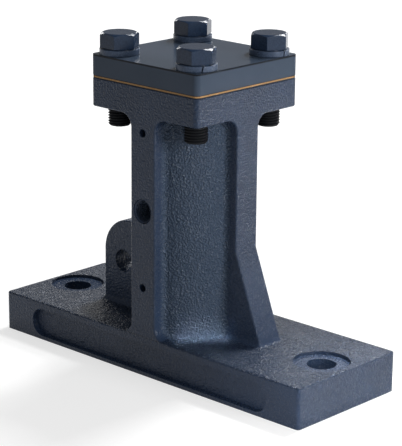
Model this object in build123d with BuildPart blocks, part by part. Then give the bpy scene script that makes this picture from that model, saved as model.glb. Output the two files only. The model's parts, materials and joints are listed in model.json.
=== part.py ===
from build123d import *
import os
from math import radians, sqrt, tan

# Pneumatic piston vibrator for hoppers, chutes and feeder troughs. Millimetres, +Z up.
# A loose piston runs up and down in the upright cylinder of a one-piece iron casting.
# Air enters at mid height of the front rib and leaves by two small ports near the ends.
# The origin is the middle of the base's underside, and the front face looks towards -Y.

# Barrel and its bore
bore_diameter = 50.8
barrel_wall = 7.6
bore_floor = 24.5
bore_mouth_chamfer = 0.8
barrel_fillet = 3.0

# Base
base_length = 225.4
base_height = 22.6
base_corner_radius = 2.0
mount_hole_diameter = 16.0
mount_hole_end_distance = 18.2
spotface_diameter = 31.0
spotface_depth = 1.6

# Bare panel pocket in the base's front face
pocket_end_margin = 22.2
pocket_bottom_margin = 2.1
pocket_top_margin = 4.1
pocket_depth = 3.2
pocket_draft_angle = 8.0

# Flange, gasket and cover
flange_top = 161.7
flange_thickness = 15.8
flange_corner_radius = 3.0
gasket_thickness = 1.6
cover_thickness = 11.4
joint_edge_chamfer = 0.4
cover_top_edge_chamfer = 0.6

# Ribs from the barrel to the flush front, rear and side faces
front_rib_width = 18.2
side_rib_width = 16.8
rib_end_fillet = 7.0
foot_fillet = 3.5
cast_edge_radius = 1.0

# Gusset on the right rib and safety lug on the left rib
gusset_reach = 19.0
gusset_top = 72.7
lug_reach = 22.6
lug_top = 73.5
lug_corner_radius = 20.0
lug_hole_diameter = 13.2
lug_hole_end_distance = 15.5
lug_hole_height = 48.9

# Air ports in the front rib
inlet_thread_diameter = 13.6
inlet_thread_depth = 11.0
inlet_port_diameter = 8.0
exhaust_port_diameter = 4.5
exhaust_port_end_distance = 26.2

# Cover bolts and their spring lock washers
bolt_diameter = 12.7
bolt_length = 42.5
bolt_end_chamfer = 1.0
bolt_head_flats = 19.05
bolt_head_height = 8.7
bolt_crown_inset = 0.375
bolt_crown_angle = 35.0
washer_section_width = 4.45
washer_thickness = 3.18
washer_gap = 1.0
washer_gap_slant = 25.0
bolt_to_barrel_gap = 1.07
bolt_edge_distance = 11.12

# Piston
piston_stroke = 38.2
piston_end_chamfer = 1.5
groove_width = 10.0
groove_depth = 3.0
cross_drilling_diameter = 8.0
end_drilling_diameter = 6.0
end_drilling_circle_radius = 15.0

# Clearances
piston_clearance = 0.05
piston_end_clearance = 0.3
thread_clearance = 0.05
washer_clearance = 0.15
cover_hole_clearance = 0.8
gasket_bore_clearance = 0.8

# Each corner's bolt: its side in x and y, the turn of its head and of its washer's gap
bolt_corners = {
    "front_left": (-1, -1, 0.0, 150.0),
    "front_right": (1, -1, 0.0, -30.0),
    "rear_left": (-1, 1, 0.0, 75.0),
    "rear_right": (1, 1, 5.0, -2.0),
}

# Sizes and places that follow from the values above
bore_radius = bore_diameter / 2
barrel_radius = bore_radius + barrel_wall
bolt_offset = (barrel_radius + bolt_to_barrel_gap + bolt_diameter / 2) / sqrt(2)
body_width = 2 * (bolt_offset + bolt_edge_distance)
half_width = body_width / 2
half_length = base_length / 2
flange_bottom = flange_top - flange_thickness
tower_height = flange_bottom - base_height
cover_bottom = flange_top + gasket_thickness
cover_top = cover_bottom + cover_thickness
bolt_seat = cover_top + washer_thickness
cover_hole_radius = bolt_diameter / 2 + cover_hole_clearance
washer_bore_radius = bolt_diameter / 2 + washer_clearance
washer_outer_radius = washer_bore_radius + washer_section_width
inlet_height = (bore_floor + cover_bottom) / 2
exhaust_port_offset = (cover_bottom - bore_floor) / 2 - exhaust_port_end_distance
piston_radius = bore_radius - piston_clearance
piston_bottom = bore_floor + piston_end_clearance
piston_top = cover_bottom - piston_end_clearance - piston_stroke
piston_length = piston_top - piston_bottom
front_face = Plane.XZ.offset(half_width)

same_place = 0.01

os.makedirs("parts", exist_ok=True)


def is_base_corner(edge):
    return abs(edge.center().X) > half_length - same_place


def is_flange_corner(edge):
    middle = edge.center()
    return min(abs(middle.X), abs(middle.Y)) > half_width - same_place


def is_cast_edge(edge):
    # Outward edges of the flush faces, the gusset and the lug, between base top and flange
    middle = edge.center()
    between = base_height - same_place < middle.Z < flange_bottom + same_place
    on_front_or_rear = abs(abs(middle.Y) - half_width) < same_place
    on_side = abs(abs(middle.X) - half_width) < same_place
    on_web = abs(abs(middle.Y) - side_rib_width / 2) < same_place
    beyond_rib = abs(middle.X) > half_width - same_place
    inward = abs(middle.Y) < same_place
    return between and not inward and (on_front_or_rear or on_side or (on_web and beyond_rib))


def is_web_foot(edge):
    # Where the side ribs, the gusset and the lug stand on the base
    middle = edge.center()
    on_base_top = abs(middle.Z - base_height) < same_place
    within_web = abs(middle.Y) < side_rib_width / 2 + same_place
    return on_base_top and within_web and abs(middle.X) < half_length - 2 * cast_edge_radius


# Body casting: base, barrel, ribs, flange, gusset and lug in one piece of iron
with BuildPart() as body_casting:
    # Base, front and rear ribs and flange, seen from the front
    with BuildSketch(Plane.XZ) as front_profile:
        with Locations((0, base_height / 2)):
            Rectangle(base_length, base_height)
        with Locations((0, base_height + tower_height / 2)):
            Rectangle(front_rib_width, tower_height)
        with Locations((0, flange_top - flange_thickness / 2)):
            Rectangle(body_width, flange_thickness)
        rib_ends = front_profile.vertices().filter_by_position(
            Axis.X, -front_rib_width / 2, front_rib_width / 2
        )
        fillet(rib_ends, rib_end_fillet)
    extrude(amount=half_width, both=True)

    # Side ribs and flange, seen from the side
    with BuildSketch(Plane.YZ) as side_profile:
        with Locations((0, base_height + tower_height / 2)):
            Rectangle(side_rib_width, tower_height)
        with Locations((0, flange_top - flange_thickness / 2)):
            Rectangle(body_width, flange_thickness)
        rib_ends = (
            side_profile.vertices()
            .filter_by_position(Axis.X, -side_rib_width / 2, side_rib_width / 2)
            .group_by(Axis.Y)[-1]
        )
        fillet(rib_ends, rib_end_fillet)
    extrude(amount=half_width, both=True)

    # Upright corners of the base and the flange
    upright = body_casting.edges().filter_by(Axis.Z)
    fillet(upright.filter_by(is_base_corner), base_corner_radius)
    fillet(upright.filter_by(is_flange_corner), flange_corner_radius)

    # Gusset and safety lug, in line with the side ribs
    with BuildSketch(Plane.XZ) as web_profile:
        with BuildLine():
            Polyline(
                (0, base_height),
                (half_width + gusset_reach, base_height),
                (half_width, gusset_top),
                (0, gusset_top),
                close=True,
            )
        make_face()
        with Locations((-(half_width + lug_reach) / 2, (base_height + lug_top) / 2)):
            Rectangle(half_width + lug_reach, lug_top - base_height)
        lug_corner = web_profile.vertices().group_by(Axis.X)[0].sort_by(Axis.Y)[-1]
        fillet(lug_corner, min(lug_corner_radius, lug_reach))
    extrude(amount=side_rib_width / 2, both=True)

    # Rounded outward edges, then the foot of the ribs, gusset and lug
    fillet(body_casting.edges().filter_by(is_cast_edge), cast_edge_radius)
    fillet(body_casting.edges().filter_by(is_web_foot), foot_fillet)

    # Barrel, blended into everything that it meets
    with BuildSketch(Plane.XY.offset(base_height)):
        Circle(barrel_radius)
    extrude(amount=tower_height)
    fillet(body_casting.edges(Select.NEW), barrel_fillet)

    # Blind bore from the flange's top, with a broken edge at its mouth
    with Locations((0, 0, flange_top)):
        Hole(bore_radius, depth=flange_top - bore_floor)
    bore_mouth = body_casting.edges(Select.NEW).group_by(Axis.Z)[-1]
    chamfer(bore_mouth, bore_mouth_chamfer)

    # Tapped holes for the cover bolts, open at the flange's underside
    with Locations((0, 0, flange_top)):
        with GridLocations(2 * bolt_offset, 2 * bolt_offset, 2, 2):
            Hole(bolt_diameter / 2 + thread_clearance, depth=flange_thickness + barrel_fillet)

    # Mounting holes with spotfaced seats
    with Locations((0, 0, base_height)):
        with GridLocations(base_length - 2 * mount_hole_end_distance, 0, 2, 1):
            CounterBoreHole(mount_hole_diameter / 2, spotface_diameter / 2, spotface_depth)

    # Tapped air inlet and its port, and the exhaust ports near the ends of the bore
    with BuildSketch(front_face):
        with Locations((0, inlet_height)):
            Circle(inlet_thread_diameter / 2)
    extrude(amount=-inlet_thread_depth, mode=Mode.SUBTRACT)
    with BuildSketch(front_face):
        with Locations((0, inlet_height)):
            Circle(inlet_port_diameter / 2)
        with Locations((0, inlet_height)):
            with GridLocations(0, 2 * exhaust_port_offset, 1, 2):
                Circle(exhaust_port_diameter / 2)
    extrude(amount=-half_width, mode=Mode.SUBTRACT)

    # Safety lug's hole
    with BuildSketch(Plane.XZ):
        with Locations((lug_hole_end_distance - half_width - lug_reach, lug_hole_height)):
            Circle(lug_hole_diameter / 2)
    extrude(amount=side_rib_width, both=True, mode=Mode.SUBTRACT)

    # Panel pocket, round ended, with drafted walls
    pocket_height = base_height - pocket_bottom_margin - pocket_top_margin
    with BuildSketch(front_face):
        with Locations((0, pocket_bottom_margin + pocket_height / 2)):
            SlotOverall(base_length - 2 * pocket_end_margin, pocket_height)
    extrude(amount=-pocket_depth, taper=pocket_draft_angle, mode=Mode.SUBTRACT)

    # Broken top edge of the flange
    flange_rim = body_casting.faces().sort_by(Axis.Z)[-1].outer_wire().edges()
    chamfer(flange_rim, joint_edge_chamfer)

body_casting.part.label = "body_casting"
export_step(body_casting.part, "parts/body_casting.step")


# Cover gasket: flat sheet between the flange and the cover
with BuildPart() as cover_gasket:
    with BuildSketch(Plane.XY.offset(flange_top)):
        RectangleRounded(body_width, body_width, flange_corner_radius)
        Circle(bore_radius + gasket_bore_clearance, mode=Mode.SUBTRACT)
        with GridLocations(2 * bolt_offset, 2 * bolt_offset, 2, 2):
            Circle(cover_hole_radius, mode=Mode.SUBTRACT)
    extrude(amount=gasket_thickness)

cover_gasket.part.label = "cover_gasket"
export_step(cover_gasket.part, "parts/cover_gasket.step")


# Cover plate: closes the top of the cylinder
with BuildPart() as cover_plate:
    with BuildSketch(Plane.XY.offset(cover_bottom)):
        RectangleRounded(body_width, body_width, flange_corner_radius)
    extrude(amount=cover_thickness)
    chamfer(cover_plate.edges().group_by(Axis.Z)[-1], cover_top_edge_chamfer)
    chamfer(cover_plate.edges().group_by(Axis.Z)[0], joint_edge_chamfer)
    with Locations((0, 0, cover_top)):
        with GridLocations(2 * bolt_offset, 2 * bolt_offset, 2, 2):
            Hole(cover_hole_radius, depth=cover_thickness)

cover_plate.part.label = "cover_plate"
export_step(cover_plate.part, "parts/cover_plate.step")


# Piston: ground steel plug whose two grooves each feed air to the chamber at its far end
with BuildPart() as piston:
    with BuildSketch(Plane.XY.offset(piston_bottom)):
        Circle(piston_radius)
    extrude(amount=piston_length)
    chamfer(piston.edges().filter_by(GeomType.CIRCLE), piston_end_chamfer)
    piston_middle = piston_bottom + piston_length / 2
    upper_groove = piston_middle + piston_stroke / 2
    lower_groove = piston_middle - piston_stroke / 2
    for groove_height, fed_end, cross_plane, first_angle in (
        (upper_groove, piston_bottom, Plane.YZ, 0),
        (lower_groove, piston_top, Plane.XZ, 90),
    ):
        # Ring groove that collects air from the inlet
        with BuildSketch(Plane.XY.offset(groove_height)):
            Circle(piston_radius)
            Circle(piston_radius - groove_depth, mode=Mode.SUBTRACT)
        extrude(amount=groove_width / 2, both=True, mode=Mode.SUBTRACT)
        # Cross drilling through the groove
        with BuildSketch(cross_plane):
            with Locations((0, groove_height)):
                Circle(cross_drilling_diameter / 2)
        extrude(amount=piston_radius, both=True, mode=Mode.SUBTRACT)
        # Pair of drillings from the fed end up or down to the cross drilling
        with BuildSketch(Plane.XY.offset(fed_end)):
            with PolarLocations(end_drilling_circle_radius, 2, start_angle=first_angle):
                Circle(end_drilling_diameter / 2)
        extrude(amount=groove_height - fed_end, mode=Mode.SUBTRACT)

piston.part.label = "piston"
export_step(piston.part, "parts/piston.step")


def make_cover_bolt(x, y, head_turn):
    # Hex cap screw, its head bearing on the lock washer and its end below the flange
    seat = Plane(origin=(x, y, bolt_seat))
    crown_radius = bolt_head_flats / 2 - bolt_crown_inset
    crown_reach = bolt_head_flats
    crown_drop = (crown_reach - crown_radius) * tan(radians(bolt_crown_angle))
    with BuildPart() as cover_bolt:
        with BuildSketch(seat):
            RegularPolygon(bolt_head_flats / 2, 6, major_radius=False, rotation=head_turn)
        extrude(amount=bolt_head_height)
        # Conical crown that cuts the head's top corners
        with BuildSketch(Plane(origin=(x, y, bolt_seat), x_dir=(1, 0, 0), z_dir=(0, -1, 0))):
            with BuildLine():
                Polyline(
                    (0, 0),
                    (crown_reach, 0),
                    (crown_reach, bolt_head_height - crown_drop),
                    (crown_radius, bolt_head_height),
                    (0, bolt_head_height),
                    close=True,
                )
            make_face()
        revolve(axis=Axis((x, y, 0), (0, 0, 1)), mode=Mode.INTERSECT)
        with BuildSketch(seat):
            Circle(bolt_diameter / 2)
        extrude(amount=-bolt_length)
        chamfer(cover_bolt.edges().group_by(Axis.Z)[0], bolt_end_chamfer)
    return cover_bolt.part


def make_lock_washer(x, y, gap_turn):
    # Spring lock washer: one turn of square wire, flattened, with a slanted gap
    centre = Plane(origin=(x, y, cover_top + washer_thickness / 2)).rotated((0, 0, gap_turn))
    gap_plane = Plane(origin=centre.origin, x_dir=centre.y_dir, z_dir=centre.x_dir)
    with BuildPart() as lock_washer:
        with BuildSketch(centre):
            Circle(washer_outer_radius)
            Circle(washer_bore_radius, mode=Mode.SUBTRACT)
        extrude(amount=washer_thickness / 2, both=True)
        with BuildSketch(gap_plane):
            Rectangle(washer_gap, 2 * washer_thickness, rotation=washer_gap_slant)
        extrude(amount=2 * washer_outer_radius, mode=Mode.SUBTRACT)
    return lock_washer.part


for corner, (side_x, side_y, head_turn, gap_turn) in bolt_corners.items():
    cover_bolt = make_cover_bolt(side_x * bolt_offset, side_y * bolt_offset, head_turn)
    cover_bolt.label = f"cover_bolt_{corner}"
    export_step(cover_bolt, f"parts/{cover_bolt.label}.step")
    lock_washer = make_lock_washer(side_x * bolt_offset, side_y * bolt_offset, gap_turn)
    lock_washer.label = f"lock_washer_{corner}"
    export_step(lock_washer, f"parts/{lock_washer.label}.step")
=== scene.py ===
"""Looks of a pneumatic piston vibrator: a cast iron body with a bolted cover, in a pale studio.

Lengths are in millimetres in the classes and are turned to metres where a mesh is made.
"""

import json
import logging
import math
from collections.abc import Callable, Iterator
from contextlib import contextmanager
from dataclasses import dataclass
from enum import Enum

import bmesh
import bpy
from mathutils import Matrix, Vector

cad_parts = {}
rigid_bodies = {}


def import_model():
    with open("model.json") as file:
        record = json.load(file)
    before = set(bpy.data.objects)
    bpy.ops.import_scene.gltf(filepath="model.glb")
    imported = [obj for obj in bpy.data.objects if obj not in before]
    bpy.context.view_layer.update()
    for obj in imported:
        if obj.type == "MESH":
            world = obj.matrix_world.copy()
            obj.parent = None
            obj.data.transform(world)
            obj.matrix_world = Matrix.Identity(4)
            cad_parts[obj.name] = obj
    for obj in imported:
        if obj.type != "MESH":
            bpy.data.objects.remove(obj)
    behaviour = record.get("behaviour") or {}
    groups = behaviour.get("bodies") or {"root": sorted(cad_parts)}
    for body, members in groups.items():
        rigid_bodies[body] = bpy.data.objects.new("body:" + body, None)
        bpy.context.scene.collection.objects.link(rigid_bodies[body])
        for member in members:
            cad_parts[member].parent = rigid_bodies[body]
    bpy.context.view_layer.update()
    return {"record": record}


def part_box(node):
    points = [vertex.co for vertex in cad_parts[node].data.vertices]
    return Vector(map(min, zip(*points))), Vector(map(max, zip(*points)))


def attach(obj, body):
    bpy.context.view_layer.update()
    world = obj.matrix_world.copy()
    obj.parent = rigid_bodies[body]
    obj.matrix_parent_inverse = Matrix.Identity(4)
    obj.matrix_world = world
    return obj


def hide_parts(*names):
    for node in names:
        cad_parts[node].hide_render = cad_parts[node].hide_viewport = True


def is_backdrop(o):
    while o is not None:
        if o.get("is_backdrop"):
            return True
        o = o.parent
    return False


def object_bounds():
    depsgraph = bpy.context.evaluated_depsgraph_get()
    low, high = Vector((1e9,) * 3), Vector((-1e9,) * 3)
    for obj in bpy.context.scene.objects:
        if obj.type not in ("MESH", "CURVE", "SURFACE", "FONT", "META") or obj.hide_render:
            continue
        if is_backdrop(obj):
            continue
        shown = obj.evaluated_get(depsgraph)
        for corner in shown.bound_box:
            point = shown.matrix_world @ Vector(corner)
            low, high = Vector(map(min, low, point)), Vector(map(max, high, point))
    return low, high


Piece = bpy.types.Object
Material = bpy.types.Material
Tree = bpy.types.NodeTree
Node = bpy.types.Node
Socket = bpy.types.NodeSocket

LOG = logging.getLogger("vibrator")
MM = 0.001
# Heights between which a drill reaches through gasket and cover
DRILL_SPAN = (150.0, 180.0)
# Points nearer than this, in metres, are merged
SLIVER = 0.5e-6
# An edge whose rise is at least this share of its length is upright
UPRIGHT = 0.99
# Turns of a thread that are cut off at its ends
SPARE_TURNS = 2
# Ranges that hold nearly all, and most, of a noise pattern's values
NOISE_SPAN = (0.3, 0.7)
NOISE_CORE = (0.35, 0.65)


class Body(Enum):
    """The two rigid bodies of the frame."""

    HOUSING = "housing"
    PISTON = "piston"


class Corner(Enum):
    """The four corners of the cover, each with a screw and a lock washer."""

    FRONT_LEFT = "front_left"
    FRONT_RIGHT = "front_right"
    REAR_LEFT = "rear_left"
    REAR_RIGHT = "rear_right"


# Turn of each screw's head and of each washer's gap, in degrees
HEAD_TURNS = {
    Corner.FRONT_LEFT: 0.0,
    Corner.FRONT_RIGHT: 0.0,
    Corner.REAR_LEFT: 0.0,
    Corner.REAR_RIGHT: 5.0,
}
GAP_TURNS = {
    Corner.FRONT_LEFT: 150.0,
    Corner.FRONT_RIGHT: -30.0,
    Corner.REAR_LEFT: 75.0,
    Corner.REAR_RIGHT: -2.0,
}


# Colours and shader nodes


def linear(hex_code: str) -> tuple[float, float, float, float]:
    """Turns an sRGB hex colour to the linear values that a shader takes.

    Args:
        hex_code: Six hex digits, such as "3a3f48".

    Returns:
        Linear red, green and blue, and an alpha of 1.
    """
    # The curve of the sRGB standard
    channels = [int(hex_code[i : i + 2], 16) / 255 for i in (0, 2, 4)]
    values = [c / 12.92 if c <= 0.04045 else ((c + 0.055) / 1.055) ** 2.4 for c in channels]
    return (*values, 1.0)


def add_node(
    tree: Tree, kind: str, settings: dict | None = None, inputs: dict | tuple = ()
) -> Node:
    """Adds a shader node with its settings, values and links.

    Args:
        tree: The node tree that gets the node.
        kind: The node's type name.
        settings: Values for the node's own properties.
        inputs: For each input, by name or number or else in order, a value, the output socket
            to link, or a node whose first output is linked.

    Returns:
        The new node.
    """
    node = tree.nodes.new(kind)
    for name, value in (settings or {}).items():
        setattr(node, name, value)
    for key, value in inputs.items() if isinstance(inputs, dict) else enumerate(inputs):
        source = value.outputs[0] if isinstance(value, Node) else value
        if isinstance(source, Socket):
            tree.links.new(source, node.inputs[key])
        else:
            node.inputs[key].default_value = source
    return node


def empty_tree(owner: Material | bpy.types.World) -> Tree:
    """Switches a material or a world to nodes, with none in it yet.

    Args:
        owner: The material or world.

    Returns:
        Its empty node tree.
    """
    owner.use_nodes = True
    owner.node_tree.nodes.clear()
    return owner.node_tree


def grain_scale(size_mm: float) -> float:
    """Gives the texture scale at which one grain is size_mm wide, for coordinates in metres."""
    return 1 / (size_mm * MM)


@dataclass(frozen=True)
class Finish:
    """A surface finish: its name, base colour and shader values.

    Each subclass adds its own pattern in the dress method.
    """

    name: str
    colour: str
    roughness: float
    metallic: float = 0.0
    ior: float = 1.5
    specular: float = 0.5

    def build(self) -> Material:
        """Makes the material.

        Returns:
            The material, with its shader linked to the output.
        """
        material = bpy.data.materials.new(self.name)
        tree = empty_tree(material)
        place = add_node(tree, "ShaderNodeTexCoord").outputs["Object"]
        shader = add_node(
            tree,
            "ShaderNodeBsdfPrincipled",
            inputs={
                "Base Color": linear(self.colour),
                "Metallic": self.metallic,
                "Roughness": self.roughness,
                "IOR": self.ior,
                "Specular IOR Level": self.specular,
            },
        )
        self.dress(tree, shader, place)
        add_node(tree, "ShaderNodeOutputMaterial", inputs={"Surface": shader})
        return material

    def dress(self, tree: Tree, shader: Node, place: Socket) -> None:
        """Adds the finish's own pattern to the shader. The plain finish has none.

        Args:
            tree: The material's node tree.
            shader: The node that gets the pattern.
            place: The coordinates, in metres.
        """

    def drive(self, tree: Tree, shader: Node, name: str, source: Node) -> None:
        """Links a pattern to one of the shader's inputs.

        Args:
            tree: The material's node tree.
            shader: The node that gets the pattern.
            name: The input's name.
            source: The node whose first output is linked.
        """
        tree.links.new(source.outputs[0], shader.inputs[name])

    def coat(self, tree: Tree, shader: Node, *layers: tuple[Node, str]) -> None:
        """Lays patches of other colours over the base colour, one after another.

        Args:
            tree: The material's node tree.
            shader: The node that gets the colour.
            layers: For each layer, the node that gives its share, and its sRGB hex colour.
        """
        colour = linear(self.colour)
        for share, hex_code in layers:
            inputs = {"Factor": share, 6: colour, 7: linear(hex_code)}
            colour = add_node(tree, "ShaderNodeMix", {"data_type": "RGBA"}, inputs).outputs[2]
        tree.links.new(colour, shader.inputs["Base Color"])

    def band(
        self,
        tree: Tree,
        place: Socket,
        middle_mm: float,
        reach_mm: tuple[float, float],
    ) -> Node:
        """Gives 1 in a band at one height and 0 above and below it.

        Args:
            tree: The material's node tree.
            place: The coordinates, in metres.
            middle_mm: Height of the band's middle.
            reach_mm: Distances from the middle at which the band starts to fade and has faded.

        Returns:
            The node that gives the value.
        """
        height = add_node(tree, "ShaderNodeSeparateXYZ", inputs={"Vector": place}).outputs["Z"]
        middle = middle_mm * MM
        offset = add_node(tree, "ShaderNodeMath", {"operation": "SUBTRACT"}, (height, middle))
        distance = add_node(tree, "ShaderNodeMath", {"operation": "ABSOLUTE"}, (offset,))
        near, far = (reach * MM for reach in reach_mm)
        return add_node(tree, "ShaderNodeMapRange", inputs=(distance, near, far, 1.0, 0.0))


@dataclass(frozen=True)
class SandCastEnamel(Finish):
    """Grey iron cast in sand, under a thin air-dried navy enamel.

    The enamel is too thin to fill the marks of the sand, so every face keeps a fine pebbled
    grain that glints where light grazes it.
    """

    # The sand's own grain of 0.3 to 0.5 mm is under a pixel, so it is drawn two to three times
    # coarser
    sand_grain_mm: float = 1.1
    sand_detail: float = 1.0
    clump_mm: float = 3.6
    clump_depth_mm: float = 0.16
    unevenness_mm: float = 22.0
    detail: float = 2.0
    light_colour: str = "36465f"
    sand_reach: tuple[float, float] = (0.32, 0.68)
    sand_share: tuple[float, float] = (0.34, 0.42)
    uneven_share: float = 0.15
    roughness_spread: float = 0.08
    # The flush faces were dressed on a belt. The barrel and the base's top keep the raw skin.
    dressed_depth_mm: float = 0.6
    raw_depth_mm: float = 1.6
    raw_barrel_mm: tuple[float, float] = (34.0, 36.5)
    # The barrel is painted lighter: a painted highlight that stands in for the glinting light on it
    barrel_highlight_colour: str = "3f4d60"
    barrel_highlight_share: float = 0.85
    # The base's top is painted darker: painted shade for the shade and dark reflections that the
    # tower throws on it
    base_top_mm: float = 22.6
    base_skin_mm: tuple[float, float] = (0.3, 0.6)
    base_top_shade_colour: str = "0b1220"
    base_top_shade_share: float = 0.35
    # Bright specks on the grain of the raw skin: painted glints
    glint_colour: str = "8591a2"
    glint_reach: tuple[float, float] = (0.58, 0.7)
    glint_share: float = 0.28

    def dress(self, tree: Tree, shader: Node, place: Socket) -> None:
        """Adds sand grain, clumps of grain, a slow change of tone, the raw skin, and painted light
        on the raw skin.

        Args:
            tree: The material's node tree.
            shader: The node that gets the pattern.
            place: The coordinates, in metres.
        """
        patterns = (
            (self.sand_grain_mm, self.sand_detail),
            (self.clump_mm, self.detail),
            (self.unevenness_mm, self.detail),
        )
        sand, clumps, tone = (
            add_node(
                tree,
                "ShaderNodeTexNoise",
                inputs={"Vector": place, "Scale": grain_scale(size_mm), "Detail": detail},
            )
            for size_mm, detail in patterns
        )
        barrel, base = self.raw_skin(tree, place)
        raw = add_node(tree, "ShaderNodeMath", {"operation": "MAXIMUM"}, (barrel, base))
        light, slow, painted_glints = (
            add_node(tree, "ShaderNodeMapRange", inputs=(noise, *reach, *shares))
            for noise, reach, shares in (
                (sand, self.sand_reach, self.sand_share),
                (tone, NOISE_CORE, (0.0, self.uneven_share)),
                (sand, self.glint_reach, (0.0, self.glint_share)),
            )
        )
        # Colour layers: grain tone; the barrel lighter as painted highlight; the base's top darker
        # as painted shade; bright specks on the raw skin as painted glints
        mixes = (
            ("ADD", light, slow, self.light_colour),
            ("MULTIPLY", barrel, self.barrel_highlight_share, self.barrel_highlight_colour),
            ("MULTIPLY", base, self.base_top_shade_share, self.base_top_shade_colour),
            ("MULTIPLY", painted_glints, raw, self.glint_colour),
        )
        layers = (
            (add_node(tree, "ShaderNodeMath", {"operation": kind}, (first, second)), hex_code)
            for kind, first, second, hex_code in mixes
        )
        self.coat(tree, shader, *layers)
        gloss = (self.roughness + self.roughness_spread, self.roughness - self.roughness_spread)
        roughness = add_node(tree, "ShaderNodeMapRange", inputs=(sand, *NOISE_CORE, *gloss))
        self.drive(tree, shader, "Roughness", roughness)
        depths = (self.dressed_depth_mm * MM, self.raw_depth_mm * MM)
        depth = add_node(tree, "ShaderNodeMapRange", inputs=(raw, 0.0, 1.0, *depths))
        coarse = add_node(
            tree, "ShaderNodeBump", inputs={"Height": clumps, "Distance": self.clump_depth_mm * MM}
        )
        fine = add_node(
            tree, "ShaderNodeBump", inputs={"Height": sand, "Distance": depth, "Normal": coarse}
        )
        self.drive(tree, shader, "Normal", fine)

    def raw_skin(self, tree: Tree, place: Socket) -> tuple[Node, Node]:
        """Finds the barrel and the base's top, which keep the raw skin and carry painted light.

        Args:
            tree: The material's node tree.
            place: The coordinates, in metres.

        Returns:
            Nodes that give 1 on the barrel and 0 elsewhere, and 1 on the base's top and 0
            elsewhere.
        """
        level = {"Vector": place, "Scale": (1.0, 1.0, 0.0)}
        plan = add_node(tree, "ShaderNodeMapping", inputs=level)
        length = add_node(tree, "ShaderNodeVectorMath", {"operation": "LENGTH"}, (plan,))
        radius = length.outputs["Value"]
        inner, outer = (value * MM for value in self.raw_barrel_mm)
        barrel = add_node(tree, "ShaderNodeMapRange", inputs=(radius, inner, outer, 1.0, 0.0))
        return barrel, self.band(tree, place, self.base_top_mm, self.base_skin_mm)


@dataclass(frozen=True)
class SprayedEnamel(Finish):
    """Milled steel plate under a sprayed navy enamel: smooth and semi-gloss.

    The spray leaves a faint orange peel that softens reflections a little.
    """

    peel_mm: float = 1.8
    peel_depth_mm: float = 0.0012
    peel_detail: float = 0.0
    cloud_mm: float = 30.0
    cloud_detail: float = 2.0
    cloud_colour: str = "404b5b"
    # A dark band is painted along the chamfer of the top rim: painted shade
    rim_shade_colour: str = "0d131c"
    rim_middle_mm: float = 174.2
    rim_reach_mm: tuple[float, float] = (0.4, 0.48)

    def dress(self, tree: Tree, shader: Node, place: Socket) -> None:
        """Adds orange peel, a slow change of tone and painted shade along the top rim.

        Args:
            tree: The material's node tree.
            shader: The node that gets the pattern.
            place: The coordinates, in metres.
        """
        patterns = ((self.peel_mm, self.peel_detail), (self.cloud_mm, self.cloud_detail))
        peel, cloud = (
            add_node(
                tree,
                "ShaderNodeTexNoise",
                inputs={"Vector": place, "Scale": grain_scale(size_mm), "Detail": detail},
            )
            for size_mm, detail in patterns
        )
        amount = add_node(tree, "ShaderNodeMapRange", inputs=(cloud, *NOISE_SPAN, 0.0, 1.0))
        # The band along the top rim is painted shade
        rim = self.band(tree, place, self.rim_middle_mm, self.rim_reach_mm)
        self.coat(tree, shader, (amount, self.cloud_colour), (rim, self.rim_shade_colour))
        bump = {"Height": peel, "Distance": self.peel_depth_mm * MM}
        self.drive(tree, shader, "Normal", add_node(tree, "ShaderNodeBump", inputs=bump))


@dataclass(frozen=True)
class BlackOxide(Finish):
    """Forged alloy steel with a black oxide finish and a film of oil: a dark satin surface."""

    scale_mm: float = 0.8
    scale_depth_mm: float = 0.01
    detail: float = 3.0
    light_colour: str = "26374f"
    # Below this height the threads are painted near black as painted shade under the flange, and
    # made rougher
    thread_shade_colour: str = "070a10"
    thread_roughness: float = 0.7
    thread_top_mm: float = 150.0
    thread_fade_mm: float = 1.0

    def dress(self, tree: Tree, shader: Node, place: Socket) -> None:
        """Adds the fine mottle that forging leaves under the oxide, and painted shade and a higher
        roughness on the threads.

        Args:
            tree: The material's node tree.
            shader: The node that gets the pattern.
            place: The coordinates, in metres.
        """
        mottle = add_node(
            tree,
            "ShaderNodeTexNoise",
            inputs={"Vector": place, "Scale": grain_scale(self.scale_mm), "Detail": self.detail},
        )
        amount = add_node(tree, "ShaderNodeMapRange", inputs=(mottle, *NOISE_SPAN, 0.0, 1.0))
        height = add_node(tree, "ShaderNodeSeparateXYZ", inputs={"Vector": place}).outputs["Z"]
        low, high = self.thread_top_mm * MM, (self.thread_top_mm + self.thread_fade_mm) * MM
        # The threads below the flange get painted shade and a higher roughness
        thread = add_node(tree, "ShaderNodeMapRange", inputs=(height, low, high, 1.0, 0.0))
        self.coat(tree, shader, (amount, self.light_colour), (thread, self.thread_shade_colour))
        gloss = (self.roughness, self.thread_roughness)
        roughness = add_node(tree, "ShaderNodeMapRange", inputs=(thread, 0.0, 1.0, *gloss))
        self.drive(tree, shader, "Roughness", roughness)
        bump = {"Height": mottle, "Distance": self.scale_depth_mm * MM}
        self.drive(tree, shader, "Normal", add_node(tree, "ShaderNodeBump", inputs=bump))


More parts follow.
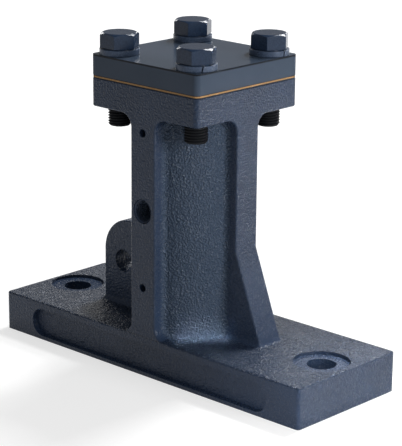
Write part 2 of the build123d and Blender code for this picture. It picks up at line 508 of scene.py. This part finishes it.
@dataclass(frozen=True)
class FibreGasket(Finish):
    """Compressed fibre gasket sheet: matt tan, with short fibres along its cut edge."""

    fibre_mm: float = 0.7
    fibre_flatness: float = 3.0
    fibre_reach: tuple[float, float] = (0.4, 0.7)
    detail: float = 3.0
    dark_colour: str = "8f6c40"
    # Both rims of the sheet's edge are painted dark, as painted shade in the joints with flange and
    # cover; the middle keeps its tan
    joint_shade_colour: str = "0e131c"
    middle_mm: float = 162.5
    unshaded_mm: tuple[float, float] = (0.3, 0.5)

    def dress(self, tree: Tree, shader: Node, place: Socket) -> None:
        """Adds fibres that lie in the plane of the sheet, and painted shade on the rims of its
        edge.

        Args:
            tree: The material's node tree.
            shader: The node that gets the pattern.
            place: The coordinates, in metres.
        """
        flattened = add_node(
            tree,
            "ShaderNodeMapping",
            inputs={"Vector": place, "Scale": (1.0, 1.0, self.fibre_flatness)},
        )
        fibres = add_node(
            tree,
            "ShaderNodeTexNoise",
            inputs={
                "Vector": flattened,
                "Scale": grain_scale(self.fibre_mm),
                "Detail": self.detail,
            },
        )
        amount = add_node(tree, "ShaderNodeMapRange", inputs=(fibres, *self.fibre_reach, 0.0, 1.0))
        # Painted shade on both rims of the edge, from the joints with flange and cover
        unshaded_middle = self.band(tree, place, self.middle_mm, self.unshaded_mm)
        shaded_rims = add_node(tree, "ShaderNodeMath", {"operation": "SUBTRACT"}, (1.0, unshaded_middle))
        self.coat(tree, shader, (amount, self.dark_colour), (shaded_rims, self.joint_shade_colour))


@dataclass(frozen=True)
class GroundSteel(Finish):
    """Hardened steel, ground between centres: bright, with fine marks around its axis."""

    mark_mm: float = 0.25
    mark_depth_mm: float = 0.004
    # The marks run round the piston, so they are stretched this far across its axis
    mark_stretch: float = 50.0
    detail: float = 2.0
    roughness_rise: float = 0.15

    def dress(self, tree: Tree, shader: Node, place: Socket) -> None:
        """Adds grinding marks that run around the piston.

        Args:
            tree: The material's node tree.
            shader: The node that gets the pattern.
            place: The coordinates, in metres.
        """
        across = 1 / self.mark_stretch
        stretched = add_node(
            tree, "ShaderNodeMapping", inputs={"Vector": place, "Scale": (across, across, 1.0)}
        )
        marks = add_node(
            tree,
            "ShaderNodeTexNoise",
            inputs={
                "Vector": stretched,
                "Scale": grain_scale(self.mark_mm),
                "Detail": self.detail,
            },
        )
        gloss = (self.roughness, self.roughness + self.roughness_rise)
        roughness = add_node(tree, "ShaderNodeMapRange", inputs=(marks, *NOISE_SPAN, *gloss))
        self.drive(tree, shader, "Roughness", roughness)
        bump = {"Height": marks, "Distance": self.mark_depth_mm * MM}
        self.drive(tree, shader, "Normal", add_node(tree, "ShaderNodeBump", inputs=bump))


# Modelling


def deselect_all() -> None:
    """Leaves every object unselected, so that an operator acts only on what is chosen next."""
    for shown in bpy.context.view_layer.objects:
        shown.select_set(False)


def activate(piece: Piece) -> None:
    """Makes one object the only selected and active one.

    Args:
        piece: The object.
    """
    deselect_all()
    piece.select_set(True)
    bpy.context.view_layer.objects.active = piece


@contextmanager
def edit_mode(piece: Piece, selection: str = "SELECT") -> Iterator[None]:
    """Opens a piece in edit mode with all of it or none of it selected, and closes it afterwards.

    Args:
        piece: The piece to edit.
        selection: SELECT or DESELECT.

    Returns:
        A context in which the piece is open.
    """
    activate(piece)
    bpy.ops.object.mode_set(mode="EDIT")
    bpy.ops.mesh.select_mode(type="VERT")
    bpy.ops.mesh.select_all(action=selection)
    yield
    bpy.ops.object.mode_set(mode="OBJECT")


def select_edges(piece: Piece, wanted: Callable[[bmesh.types.BMEdge], bool]) -> None:
    """Selects the edges of the piece in edit mode that pass a test.

    Args:
        piece: The piece that is open in edit mode.
        wanted: Says whether an edge is taken.
    """
    bpy.ops.mesh.select_mode(type="EDGE")
    mesh = bmesh.from_edit_mesh(piece.data)
    for edge in mesh.edges:
        edge.select_set(wanted(edge))
    mesh.select_flush_mode()
    bmesh.update_edit_mesh(piece.data)


def is_upright(edge: bmesh.types.BMEdge) -> bool:
    """Says whether an edge runs along Z."""
    run = edge.verts[1].co - edge.verts[0].co
    return abs(run.z) > UPRIGHT * run.length


def apply_modifier(piece: Piece, kind: str, **settings: object) -> None:
    """Adds a modifier to a piece and applies it.

    Args:
        piece: The piece to change.
        kind: The modifier's type.
        settings: Values for the modifier's properties.
    """
    activate(piece)
    modifier = piece.modifiers.new(kind.lower(), kind)
    for name, value in settings.items():
        setattr(modifier, name, value)
    bpy.ops.object.modifier_apply(modifier=modifier.name)


def cut_with(piece: Piece, tool: Piece, operation: str) -> None:
    """Applies a boolean with a tool shape and deletes the tool.

    Args:
        piece: The piece to change.
        tool: The other shape.
        operation: DIFFERENCE, INTERSECT or UNION.
    """
    apply_modifier(piece, "BOOLEAN", operation=operation, object=tool, solver="EXACT")
    bpy.data.objects.remove(tool)
    with edit_mode(piece):
        bpy.ops.mesh.remove_doubles(threshold=SLIVER)
        bpy.ops.mesh.fill_holes(sides=0)


def settle(piece: Piece, name: str) -> Piece:
    """Names a piece and moves its place, turn and scale into its mesh.

    Args:
        piece: The piece.
        name: Its name.

    Returns:
        The same piece, with its origin at the world's origin.
    """
    activate(piece)
    bpy.ops.object.transform_apply(location=True, rotation=True, scale=True)
    piece.name = name
    piece.data.name = name
    return piece


def smooth(piece: Piece, sharp_degrees: float) -> None:
    """Shades a piece smoothly between flat faces, with its large faces kept flat.

    Args:
        piece: The piece to shade.
        sharp_degrees: Edges that turn by more than this stay sharp.
    """
    activate(piece)
    bpy.ops.object.shade_smooth_by_angle(angle=math.radians(sharp_degrees))
    apply_modifier(piece, "WEIGHTED_NORMAL", mode="FACE_AREA", keep_sharp=True)


def add_cylinder(radius: float, low: float, high: float, sides: int) -> Piece:
    """Adds an upright cylinder on the Z axis. Lengths are in millimetres.

    Args:
        radius: Its radius.
        low: Height of its underside.
        high: Height of its top.
        sides: Number of sides.

    Returns:
        The new object.
    """
    deselect_all()
    bpy.ops.mesh.primitive_cylinder_add(
        vertices=sides,
        radius=radius * MM,
        depth=(high - low) * MM,
        location=(0.0, 0.0, (low + high) / 2 * MM),
    )
    return settle(bpy.context.object, "cylinder")


def copied(piece: Piece, x: float, y: float, turn: float, name: str) -> Piece:
    """Copies a piece, mesh and all, and puts the copy in another place.

    Args:
        piece: The piece, modelled on the Z axis.
        x: Place of the copy's axis, in millimetres.
        y: Place of the copy's axis, in millimetres.
        turn: Turn about its axis, in degrees.
        name: The copy's name.

    Returns:
        The copy.
    """
    copy = piece.copy()
    copy.data = piece.data.copy()
    bpy.context.scene.collection.objects.link(copy)
    copy.rotation_euler.z = math.radians(turn)
    copy.location = (x * MM, y * MM, 0.0)
    return settle(copy, name)


def cut_screw_holes(piece: Piece, radius: float, sides: int) -> None:
    """Drills a hole for each cover screw.

    Args:
        piece: The piece to drill.
        radius: Radius of the holes, in millimetres.
        sides: Number of sides of each hole.
    """
    drill = add_cylinder(radius, *DRILL_SPAN, sides)
    for corner in Corner:
        x, y = middle_of(f"cover_bolt_{corner.value}")
        cut_with(piece, copied(drill, x, y, 0.0, "drill"), "DIFFERENCE")
    bpy.data.objects.remove(drill)


def rounded_slab(low: Vector, high: Vector, corner_radius: float, segments: int) -> Piece:
    """Models a slab between two corners of its box, with round upright corners.

    Args:
        low: The box's low corner, in metres.
        high: The box's high corner, in metres.
        corner_radius: Radius of the upright corners, in millimetres.
        segments: Number of faces in each corner.

    Returns:
        The slab.
    """
    deselect_all()
    bpy.ops.mesh.primitive_cube_add(size=1.0, location=(low + high) / 2)
    slab = bpy.context.object
    slab.scale = high - low
    settle(slab, "slab")
    with edit_mode(slab, "DESELECT"):
        select_edges(slab, is_upright)
        bpy.ops.mesh.bevel(offset=corner_radius * MM, segments=segments, affect="EDGES")
    return slab


def soften(piece: Piece, radius: float, segments: int, sharp_degrees: float = 60.0) -> None:
    """Rounds the sharp edges of a piece.

    Args:
        piece: The piece.
        radius: Radius of the rounding, in millimetres.
        segments: Number of faces across it.
        sharp_degrees: Edges that turn by more than this are rounded.
    """
    apply_modifier(
        piece,
        "BEVEL",
        width=radius * MM,
        segments=segments,
        limit_method="ANGLE",
        angle_limit=math.radians(sharp_degrees),
    )


def finish_piece(piece: Piece, material: Material, slot: str, *nodes: str) -> Piece:
    """Gives a new piece its only material and the housing's body, and hides the frame nodes that it
    stands for.

    Args:
        piece: The finished piece.
        material: Its material.
        slot: The record's material slot; not used.
        nodes: The frame nodes that it stands for.

    Returns:
        The same piece.
    """
    piece.data.materials.clear()
    piece.data.materials.append(material)
    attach(piece, Body.HOUSING.value)
    if nodes:
        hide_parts(*nodes)
    return piece


def merged_copy(node: str, name: str) -> Piece:
    """Copies a frame node and joins its loose triangles to one closed mesh.

    Args:
        node: The node's name.
        name: The copy's name.

    Returns:
        The copy.
    """
    original = bpy.data.objects[node]
    copy = bpy.data.objects.new(name, original.data.copy())
    bpy.context.scene.collection.objects.link(copy)
    copy.data.name = name
    with edit_mode(copy):
        bpy.ops.mesh.remove_doubles(threshold=SLIVER)
    if copy.data.has_custom_normals:
        activate(copy)
        bpy.ops.mesh.customdata_custom_splitnormals_clear()
    return copy


def middle_of(node: str) -> tuple[float, float]:
    """Gives the middle of a frame node in plan, in millimetres."""
    low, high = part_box(node)
    return (low.x + high.x) / 2 / MM, (low.y + high.y) / 2 / MM


def heights_of(node: str) -> tuple[float, float]:
    """Gives the lowest and highest point of a frame node, in millimetres."""
    low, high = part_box(node)
    return low.z / MM, high.z / MM


def threaded_rod(
    crest: float, depth: float, pitch: float, low: float, high: float, steps: int, closed: bool
) -> Piece:
    """Sweeps one tooth round the Z axis as a right-hand screw thread. Lengths are in millimetres.

    Args:
        crest: Largest radius.
        depth: Depth of the thread.
        pitch: Rise of one turn.
        low: Height of its lower end.
        high: Height of its upper end.
        steps: Number of steps in a turn.
        closed: Closes both ends, or else leaves a threaded tube with no wall.

    Returns:
        The thread.
    """
    # The tooth's root and crest are flat over an eighth of the pitch each
    flat, flank = pitch / 8 * MM, pitch * 3 / 8 * MM
    rise = depth * MM
    deselect_all()
    bpy.ops.mesh.primitive_plane_add(
        size=MM, location=((crest - depth) * MM, 0.0, (low - pitch) * MM)
    )
    rod = settle(bpy.context.object, "thread")
    with edit_mode(rod):
        bpy.ops.mesh.merge(type="CENTER")
        for move in ((0.0, 0.0, flat), (rise, 0.0, flank), (0.0, 0.0, flat), (-rise, 0.0, flank)):
            bpy.ops.mesh.extrude_vertices_move(TRANSFORM_OT_translate={"value": move})
    apply_modifier(
        rod,
        "SCREW",
        axis="Z",
        angle=math.tau,
        screw_offset=pitch * MM,
        iterations=math.ceil((high - low) / pitch) + SPARE_TURNS,
        steps=steps,
        render_steps=steps,
    )
    with edit_mode(rod):
        bpy.ops.mesh.remove_doubles(threshold=SLIVER)
        for height, keep_upper in ((low, True), (high, False)):
            bpy.ops.mesh.select_all(action="SELECT")
            bpy.ops.mesh.bisect(
                plane_co=(0.0, 0.0, height * MM),
                plane_no=(0.0, 0.0, 1.0),
                use_fill=closed,
                clear_inner=keep_upper,
                clear_outer=not keep_upper,
            )
        bpy.ops.mesh.select_all(action="SELECT")
        bpy.ops.mesh.normals_make_consistent(inside=False)
    return rod


# The machine


@dataclass
class Assembly:
    """Pieces of the machine that share a finish."""

    material: Material

    def build(self) -> list[Piece]:
        """Models, dresses and returns the assembly's pieces."""
        raise NotImplementedError


@dataclass
class BodyCasting(Assembly):
    """The one-piece casting and the thread of its air inlet."""

    inlet_radius: float
    inlet_height: float
    sharp_degrees: float = 40.0
    thread_length: float = 10.6
    thread_inset: float = 0.3
    thread_pitch: float = 1.41
    thread_depth: float = 0.9
    thread_clearance: float = 0.1
    thread_wall: float = 0.09
    thread_steps: int = 64

    def build(self) -> list[Piece]:
        """Dresses the casting and cuts the thread of the inlet.

        Returns:
            The casting and the thread.
        """
        casting = merged_copy("body_casting", "body_casting_cast")
        smooth(casting, self.sharp_degrees)
        return [
            finish_piece(casting, self.material, "cast_body", "body_casting"),
            finish_piece(self.inlet_thread(), self.material, "cast_body"),
        ]

    def inlet_thread(self) -> Piece:
        """Models the inlet's female pipe thread as a thin threaded sleeve.

        Returns:
            The sleeve, inside the plain hole of the casting.
        """
        crest = self.inlet_radius - self.thread_clearance
        sleeve = threaded_rod(
            crest,
            self.thread_depth,
            self.thread_pitch,
            0.0,
            self.thread_length,
            self.thread_steps,
            closed=False,
        )
        apply_modifier(sleeve, "SOLIDIFY", thickness=self.thread_wall * MM, offset=0.0)
        with edit_mode(sleeve):
            bpy.ops.mesh.normals_make_consistent(inside=False)
        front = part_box("body_casting")[0].y + self.thread_inset * MM
        sleeve.rotation_euler.x = math.radians(-90)
        sleeve.location = (0.0, front, self.inlet_height * MM)
        settle(sleeve, "inlet_thread")
        smooth(sleeve, self.sharp_degrees)
        return sleeve


@dataclass
class CoverGasket(Assembly):
    """The gasket between flange and cover, squeezed so that its edge is rounded."""

    corner_radius: float = 3.0
    corner_segments: int = 8
    inset: float = 0.15
    edge_radius: float = 0.5
    edge_segments: int = 3
    hole_radius: float = 7.15
    bore_radius: float = 26.2
    hole_sides: int = 64
    bore_sides: int = 128
    sharp_degrees: float = 40.0

    def build(self) -> list[Piece]:
        """Models the sheet with its five holes and puts it in place of its node.

        Returns:
            The gasket.
        """
        low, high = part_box("cover_gasket")
        margin = Vector((self.inset, self.inset, 0.0)) * MM
        gasket = rounded_slab(low + margin, high - margin, self.corner_radius, self.corner_segments)
        cut_screw_holes(gasket, self.hole_radius, self.hole_sides)
        cut_with(gasket, add_cylinder(self.bore_radius, *DRILL_SPAN, self.bore_sides), "DIFFERENCE")
        soften(gasket, self.edge_radius, self.edge_segments)
        settle(gasket, "cover_gasket_pressed")
        smooth(gasket, self.sharp_degrees)
        return [finish_piece(gasket, self.material, "gasket_paper", "cover_gasket")]


@dataclass
class CoverPlate(Assembly):
    """The square cover plate, bolted over the cylinder."""

    corner_radius: float = 3.0
    corner_segments: int = 8
    hole_radius: float = 7.15
    hole_sides: int = 64
    rim_width: float = 1.0
    rim_segments: int = 1
    sharp_degrees: float = 35.0

    def build(self) -> list[Piece]:
        """Models the plate with its four holes and puts it in place of its node.

        Returns:
            The plate.
        """
        low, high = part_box("cover_plate")
        plate = rounded_slab(low, high, self.corner_radius, self.corner_segments)
        cut_screw_holes(plate, self.hole_radius, self.hole_sides)
        soften(plate, self.rim_width, self.rim_segments)
        settle(plate, "cover_plate_painted")
        smooth(plate, self.sharp_degrees)
        return [finish_piece(plate, self.material, "cover_paint", "cover_plate")]


@dataclass
class CoverScrews(Assembly):
    """Four hex cap screws: a forged head with a bearing face, and a threaded shank."""

    flats: float = 19.05
    # The primitive's first corner is on the Y axis and the frame's is on the X axis
    hexagon_turn: float = 30.0
    head_height: float = 8.7
    bearing_radius: float = 9.1
    bearing_height: float = 0.5
    overlap: float = 0.4
    crown_radius: float = 9.0
    crown_angle: float = 30.0
    edge_radius: float = 0.15
    edge_segments: int = 2
    edge_degrees: float = 24.0
    shank_radius: float = 6.35
    thread_pitch: float = 1.5
    thread_depth: float = 0.85
    end_chamfer: float = 1.0
    sides: int = 72
    sharp_degrees: float = 32.0

    def build(self) -> list[Piece]:
        """Models one screw and puts a copy in place of each node.

        Returns:
            The four screws.
        """
        bottom, top = heights_of(f"cover_bolt_{Corner.FRONT_LEFT.value}")
        pattern = self.head(top)
        cut_with(pattern, self.shank(bottom, top - self.head_height + self.overlap), "UNION")
        screws = []
        for corner in Corner:
            node = f"cover_bolt_{corner.value}"
            screw = copied(pattern, *middle_of(node), HEAD_TURNS[corner], f"{node}_threaded")
            smooth(screw, self.sharp_degrees)
            screws.append(finish_piece(screw, self.material, "bolt_steel", node))
        bpy.data.objects.remove(pattern)
        return screws

    def head(self, top: float) -> Piece:
        """Models the hexagon, its conical crown and its bearing face.

        Args:
            top: Height of the head's top.

        Returns:
            The head, on the Z axis.
        """
        seat = top - self.head_height
        head = add_cylinder(self.flats / math.sqrt(3), seat + self.bearing_height, top, 6)
        head.rotation_euler.z = math.radians(self.hexagon_turn)
        settle(head, "screw_head")
        slope = math.tan(math.radians(self.crown_angle))
        reach = self.flats
        deselect_all()
        bpy.ops.mesh.primitive_cone_add(
            vertices=self.sides,
            radius1=(self.crown_radius + reach) * MM,
            radius2=self.crown_radius * MM,
            depth=reach * slope * MM,
            location=(0.0, 0.0, (top - reach * slope / 2) * MM),
            # Half a side's turn, so that no edge of the cone meets a corner of the hexagon
            rotation=(0.0, 0.0, math.pi / self.sides),
        )
        cut_with(head, bpy.context.object, "INTERSECT")
        soften(head, self.edge_radius, self.edge_segments, self.edge_degrees)
        face_top = seat + self.bearing_height + self.overlap
        cut_with(head, add_cylinder(self.bearing_radius, seat, face_top, self.sides), "UNION")
        return head

    def shank(self, bottom: float, top: float) -> Piece:
        """Models the shank with a rolled thread over its whole length and a chamfered end.

        Args:
            bottom: Height of its end.
            top: Height at which it runs into the head.

        Returns:
            The shank, on the Z axis.
        """
        shank = threaded_rod(
            self.shank_radius,
            self.thread_depth,
            self.thread_pitch,
            bottom - self.end_chamfer,
            top + self.end_chamfer,
            self.sides,
            closed=True,
        )
        blank = add_cylinder(self.shank_radius + self.overlap, bottom, top, self.sides)
        reach = (bottom + self.end_chamfer) * MM
        with edit_mode(blank, "DESELECT"):
            select_edges(blank, lambda edge: max(v.co.z for v in edge.verts) < reach)
            bpy.ops.mesh.bevel(offset=(self.end_chamfer + self.overlap) * MM, segments=1)
        cut_with(shank, blank, "INTERSECT")
        return shank


@dataclass
class LockWashers(Assembly):
    """Four spring lock washers: one turn of flattened wire with a slanted gap."""

    outer_radius: float = 10.95
    inner_radius: float = 6.5
    gap: float = 0.7
    gap_slant: float = 14.0
    gap_margin: float = 2.0
    edge_radius: float = 0.35
    edge_segments: int = 3
    steps: int = 72
    sharp_degrees: float = 40.0

    def build(self) -> list[Piece]:
        """Models one washer and puts a copy in place of each node.

        Returns:
            The four washers.
        """
        pattern = self.ring(*heights_of(f"lock_washer_{Corner.FRONT_LEFT.value}"))
        washers = []
        for corner in Corner:
            node = f"lock_washer_{corner.value}"
            washer = copied(pattern, *middle_of(node), GAP_TURNS[corner], f"{node}_sprung")
            smooth(washer, self.sharp_degrees)
            washers.append(finish_piece(washer, self.material, "washer_steel", node))
        bpy.data.objects.remove(pattern)
        return washers

    def ring(self, bottom: float, top: float) -> Piece:
        """Spins the wire's section round the axis and cuts the gap on the X axis.

        Args:
            bottom: Height of the washer's underside.
            top: Height of its top.

        Returns:
            The washer, on the Z axis.
        """
        width, height = self.outer_radius - self.inner_radius, top - bottom
        middle = Vector((self.inner_radius + width / 2, 0.0, bottom + height / 2)) * MM
        deselect_all()
        bpy.ops.mesh.primitive_plane_add(
            size=1.0, location=middle, rotation=(math.radians(90), 0.0, 0.0)
        )
        ring = bpy.context.object
        ring.scale = (width * MM, height * MM, 1.0)
        settle(ring, "washer")
        with edit_mode(ring):
            bpy.ops.mesh.bevel(
                offset=self.edge_radius * MM, segments=self.edge_segments, affect="VERTICES"
            )
            bpy.ops.mesh.select_all(action="SELECT")
            bpy.ops.mesh.delete(type="ONLY_FACE")
            bpy.ops.mesh.select_all(action="SELECT")
            bpy.ops.mesh.spin(
                steps=self.steps, angle=math.tau, center=(0.0, 0.0, 0.0), axis=(0.0, 0.0, 1.0)
            )
            bpy.ops.mesh.select_all(action="SELECT")
            bpy.ops.mesh.remove_doubles(threshold=SLIVER)
            bpy.ops.mesh.normals_make_consistent(inside=False)
        deselect_all()
        bpy.ops.mesh.primitive_cube_add(
            size=1.0, location=middle, rotation=(math.radians(-self.gap_slant), 0.0, 0.0)
        )
        saw = bpy.context.object
        saw.scale = Vector((width + self.gap_margin, self.gap, height + self.gap_margin)) * MM
        settle(saw, "saw")
        cut_with(ring, saw, "DIFFERENCE")
        return ring


@dataclass
class Piston(Assembly):
    """The loose piston inside the casting."""

    def build(self) -> list[Piece]:
        """Dresses the piston's node, which already rides on its own body.

        Returns:
            The piston.
        """
        piston = bpy.data.objects[Body.PISTON.value]
        for material_slot in piston.material_slots:
            material_slot.material = self.material
        return [piston]


# The studio


@dataclass(frozen=True)
class SoftLamp:
    """A flat studio lamp that points at the object's middle or at a place of its own."""

    name: str
    azimuth: float
    elevation: float
    distance: float
    size: tuple[float, float]
    power: float
    spread: float = 180.0
    target: tuple[float, float, float] | None = None

    def build(self, middle: Vector) -> None:
        """Adds the lamp.

        Args:
            middle: The object's middle.
        """
        azimuth, elevation = math.radians(self.azimuth), math.radians(self.elevation)
        away = Vector(
            (
                math.cos(elevation) * math.cos(azimuth),
                math.cos(elevation) * math.sin(azimuth),
                math.sin(elevation),
            )
        )
        light = bpy.data.lights.new(self.name, "AREA")
        light.shape = "RECTANGLE"
        light.size, light.size_y = self.size
        light.energy = self.power
        light.spread = math.radians(self.spread)
        lamp = bpy.data.objects.new(self.name, light)
        faced = middle if self.target is None else Vector(self.target)
        lamp.location = faced + away * self.distance
        lamp.rotation_euler = away.to_track_quat("Z", "Y").to_euler()
        bpy.context.scene.collection.objects.link(lamp)


@dataclass
class Studio:
    """A plain pale floor, soft lamps and the camera of the photograph."""

    floor_size: float = 12.0
    floor_colour: str = "b2b2b2"
    floor_lift: float = 0.64
    sky_strength: float = 0.27
    horizon_strength: float = 1.0
    horizon_band: tuple[float, float] = (2.0, 6.0)
    camera_place: tuple[float, float, float] = (683.8, -721.4, 370.9)
    camera_yaw: float = 43.22
    camera_pitch: float = -16.347
    camera_roll: float = 0.505
    focal_pixels: float = 1867.8
    image_height: float = 446.0
    sensor: float = 36.0
    view_limit: float = 100.0
    lamps: tuple[SoftLamp, ...] = (
        SoftLamp("key", azimuth=92.0, elevation=61.0, distance=1.6, size=(0.25, 0.25), power=12.0),
        SoftLamp(
            "left_softbox", azimuth=156.0, elevation=22.0, distance=1.6, size=(0.25, 0.3), power=1.7
        ),
        SoftLamp(
            "back_softbox", azimuth=98.0, elevation=44.0, distance=1.6, size=(0.35, 0.35), power=9.6
        ),
        SoftLamp(
            "low_rear_softbox",
            azimuth=112.0,
            elevation=17.0,
            distance=1.8,
            size=(0.8, 0.35),
            power=4.6,
        ),
        SoftLamp(
            "right_softbox", azimuth=3.0, elevation=13.0, distance=2.0, size=(0.7, 0.7), power=27.0
        ),
        SoftLamp(
            "floor_wash",
            azimuth=47.0,
            elevation=88.0,
            distance=1.0,
            size=(0.3, 0.3),
            power=2.2,
            spread=16.0,
            target=(0.27, 0.29, 0.0),
        ),
        SoftLamp(
            "top_wash",
            azimuth=98.0,
            elevation=60.0,
            distance=0.9,
            size=(0.08, 0.08),
            power=0.045,
            spread=8.0,
            target=(0.12, 0.01, 0.02),
        ),
        SoftLamp(
            "foot_snoot",
            azimuth=-40.0,
            elevation=66.0,
            distance=0.5,
            size=(0.028, 0.006),
            power=0.0021,
            spread=1.5,
            target=(0.029, -0.022, 0.029),
        ),
        SoftLamp(
            "end_wash",
            azimuth=-62.0,
            elevation=25.0,
            distance=0.9,
            size=(0.08, 0.08),
            power=0.05,
            spread=14.0,
            target=(0.16, -0.04, 0.0),
        ),
    )

    def build(self) -> None:
        """Adds the floor, the sky, the lamps and the camera, and sets the view transform."""
        self.floor()
        self.sky()
        low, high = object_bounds()
        middle = (Vector(low) + Vector(high)) / 2
        for lamp in self.lamps:
            lamp.build(middle)
        self.camera()
        bpy.context.scene.view_settings.view_transform = "Standard"

    def seen_ray(self, tree: Tree) -> Node:
        """Gives 1 on rays from the camera, from reflections and through glass, and 0 elsewhere.

        Args:
            tree: The node tree that needs it.

        Returns:
            The node that gives the value.
        """
        rays = add_node(tree, "ShaderNodeLightPath").outputs
        maximum = {"operation": "MAXIMUM"}
        pair = (rays["Is Camera Ray"], rays["Is Glossy Ray"])
        first = add_node(tree, "ShaderNodeMath", maximum, pair)
        return add_node(tree, "ShaderNodeMath", maximum, (first, rays["Is Transmission Ray"]))

    def floor(self) -> None:
        """Adds a pale floor that keeps shadows and looks white elsewhere."""
        deselect_all()
        bpy.ops.mesh.primitive_plane_add(size=self.floor_size)
        floor = bpy.context.object
        floor.name = "studio_floor"
        material = bpy.data.materials.new("pale_floor")
        tree = empty_tree(material)
        matt = add_node(tree, "ShaderNodeBsdfDiffuse", inputs={"Color": linear(self.floor_colour)})
        lift = (self.seen_ray(tree), self.floor_lift)
        strength = add_node(tree, "ShaderNodeMath", {"operation": "MULTIPLY"}, lift)
        glow = add_node(tree, "ShaderNodeEmission", inputs={"Strength": strength})
        both = add_node(tree, "ShaderNodeAddShader", inputs=(matt, glow))
        add_node(tree, "ShaderNodeOutputMaterial", inputs={"Surface": both})
        floor.data.materials.append(material)
        floor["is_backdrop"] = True

    def sky(self) -> None:
        """Adds a surround that is white at the horizon and a soft grey above it."""
        world = bpy.data.worlds.new("pale_surround")
        bpy.context.scene.world = world
        tree = empty_tree(world)
        way = add_node(tree, "ShaderNodeTexCoord").outputs["Generated"]
        height = add_node(tree, "ShaderNodeSeparateXYZ", inputs={"Vector": way}).outputs["Z"]
        low, high = (math.sin(math.radians(angle)) for angle in self.horizon_band)
        strength = add_node(
            tree,
            "ShaderNodeMapRange",
            {"interpolation_type": "SMOOTHSTEP"},
            (height, low, high, self.horizon_strength, self.sky_strength),
        )
        sky = add_node(tree, "ShaderNodeBackground", inputs={"Strength": strength})
        add_node(tree, "ShaderNodeOutputWorld", inputs={"Surface": sky})

    def camera(self) -> None:
        """Adds the camera at the photograph's viewpoint."""
        yaw, pitch = math.radians(self.camera_yaw), math.radians(self.camera_pitch)
        ahead = Vector(
            (
                -math.sin(yaw) * math.cos(pitch),
                math.cos(yaw) * math.cos(pitch),
                math.sin(pitch),
            )
        )
        right = Vector((math.cos(yaw), math.sin(yaw), 0.0))
        up = right.cross(ahead)
        turn = Matrix((right, up, -ahead)).transposed()
        roll = Matrix.Rotation(math.radians(self.camera_roll), 3, "Z")
        lens = bpy.data.cameras.new("photo_camera")
        lens.sensor_width = self.sensor
        lens.lens = self.focal_pixels * self.sensor / self.image_height
        lens.clip_end = self.view_limit
        camera = bpy.data.objects.new("photo_camera", lens)
        place = Vector(self.camera_place) * MM
        camera.matrix_world = Matrix.Translation(place) @ (turn @ roll).to_4x4()
        bpy.context.scene.collection.objects.link(camera)
        bpy.context.scene.camera = camera


def report(piece: Piece) -> None:
    """Logs a finished piece, its number of triangles and its material.

    Args:
        piece: The piece.
    """
    triangles = sum(len(polygon.vertices) - 2 for polygon in piece.data.polygons)
    LOG.info("%s: %d triangles, %s", piece.name, triangles, piece.material_slots[0].name)


def main() -> None:
    """Builds the machine and the studio."""
    logging.basicConfig(level=logging.INFO, format="%(name)s: %(message)s")
    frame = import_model()
    cast = SandCastEnamel(
        "sand_cast_navy_enamel", colour="1f2a3d", roughness=0.24, specular=0.2
    ).build()
    painted = SprayedEnamel(
        "sprayed_navy_enamel", colour="3a4757", roughness=0.2, specular=0.13
    ).build()
    fibre = FibreGasket("compressed_fibre_sheet", colour="b58c5c", roughness=0.8).build()
    oxide = BlackOxide("black_oxide_steel", colour="17273d", roughness=0.2, specular=0.25).build()
    spring = BlackOxide(
        "oiled_spring_steel",
        colour="344256",
        roughness=0.35,
        specular=0.25,
        light_colour="4b5970",
    ).build()
    ground = GroundSteel("ground_steel", colour="9a9da3", roughness=0.25, metallic=1.0).build()
    mounts = {mount["name"]: mount for mount in frame["record"]["mounts"]}
    inlet = mounts["air_inlet"]

    assemblies = (
        BodyCasting(cast, inlet["dims"]["r_mm"], inlet["pos_m"][2] / MM),
        CoverGasket(fibre),
        CoverPlate(painted),
        CoverScrews(oxide),
        LockWashers(spring),
        Piston(ground),
    )
    for assembly in assemblies:
        for piece in assembly.build():
            report(piece)
    Studio().build()


if __name__ == "__main__":
    main()
